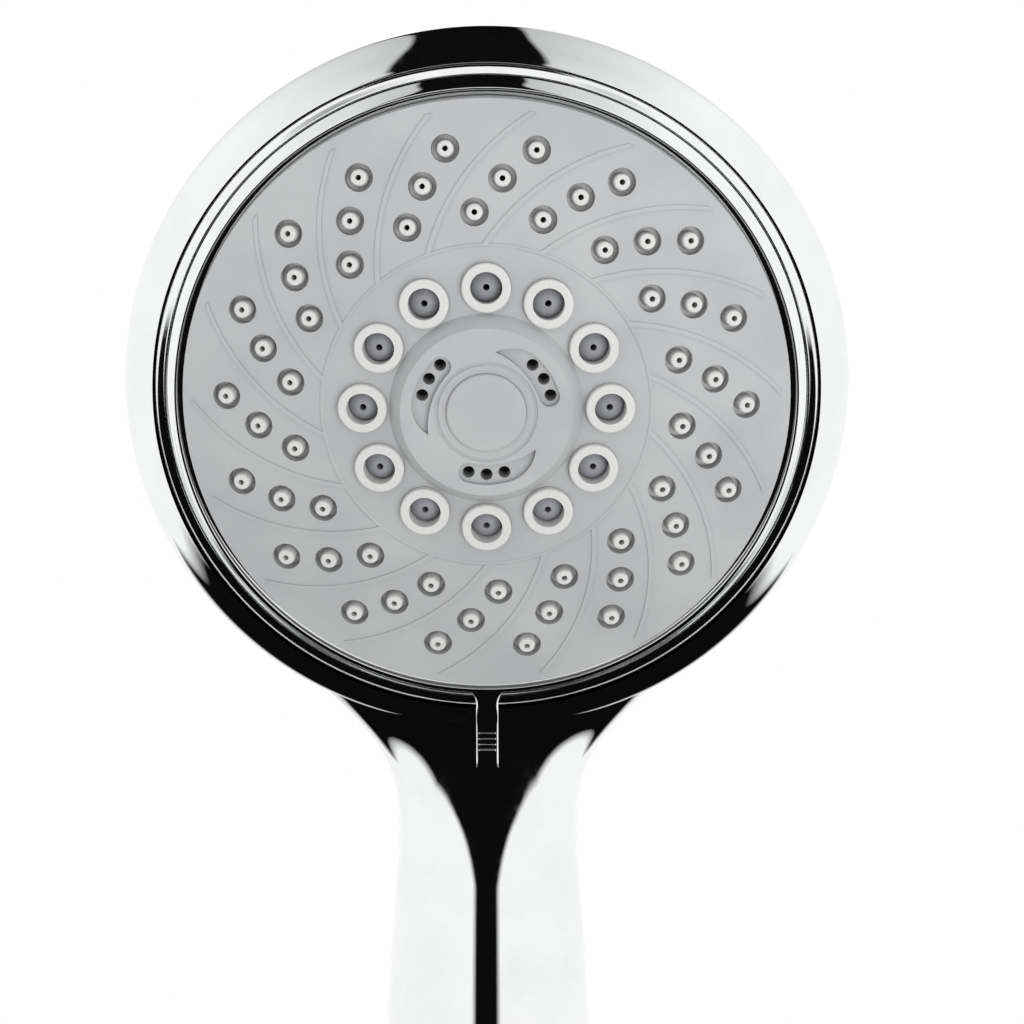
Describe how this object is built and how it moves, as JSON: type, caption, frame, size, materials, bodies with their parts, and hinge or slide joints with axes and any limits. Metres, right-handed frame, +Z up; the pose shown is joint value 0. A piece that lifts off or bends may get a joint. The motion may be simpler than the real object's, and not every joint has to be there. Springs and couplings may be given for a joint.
{
  "type": "handheld shower head",
  "caption": "Chromed handheld shower head with a round grey domed spray face that turns with its bezel and thumb tab, and a threaded inlet at the foot of the handle.",
  "frame": {"origin": "centre of the inlet nipple's lower end, in the plane that the hose washer seals on", "axes": "+Z up along the handle's lower end, away from the hose; -Y the way the spray face looks, which also tips 15.3 degrees down; +X to the right as the face is seen from the front"},
  "size_m": [0.1212, 0.0794, 0.2498],
  "materials": {
    "chromed_abs": "bright chrome plating on moulded ABS",
    "chromed_brass": "bright chrome plating on turned brass",
    "grey_abs": "satin moulded grey ABS",
    "grey_pom": "satin moulded grey acetal",
    "white_silicone": "moulded white silicone",
    "white_abs": "moulded white ABS",
    "white_pom": "moulded white acetal",
    "black_rubber": "moulded EPDM",
    "spring_steel": "bright stainless spring wire and strip",
    "stainless": "bright stainless steel"
  },
  "bodies": {
    "handle": {"body_shell": "chromed_abs", "waterway_tube": "white_abs", "inlet_nipple": "chromed_brass", "nipple_o_ring": "black_rubber", "flow_restrictor": "white_pom", "restrictor_o_ring": "black_rubber", "filter_screen": "white_pom", "valve_base": "white_abs", "port_seal": "black_rubber", "port_spring": "spring_steel", "hub_o_ring": "black_rubber", "detent_leaf": "spring_steel", "inlet_elbow": "white_abs", "tube_o_ring": "black_rubber", "retaining_washer": "stainless", "centre_screw": "stainless"},
    "spray_face": {"face_plate": "grey_abs", "centre_cap": "grey_abs", "nozzle_mat": "white_silicone", "jet_insert": "grey_pom", "mist_insert": "grey_pom", "channel_plate": "white_abs", "selector_disc": "white_abs", "disc_screws": "stainless", "bezel_ring": "chromed_abs"},
    "pulse_wheel": {"pulse_wheel": "white_pom"}
  },
  "joints": [
    {"name": "selector_turn", "type": "hinge", "parent": "handle", "child": "spray_face", "pos_m": [0, -0.0577, 0.18685], "axis": [0, -0.9646, -0.2639], "range_deg": [-50, 50], "deforming": ["detent_leaf"]},
    {"name": "wheel_spin", "type": "hinge", "parent": "spray_face", "child": "pulse_wheel", "pos_m": [0, -0.0577, 0.18685], "axis": [0, -0.9646, -0.2639], "continuous": true}
  ]
}
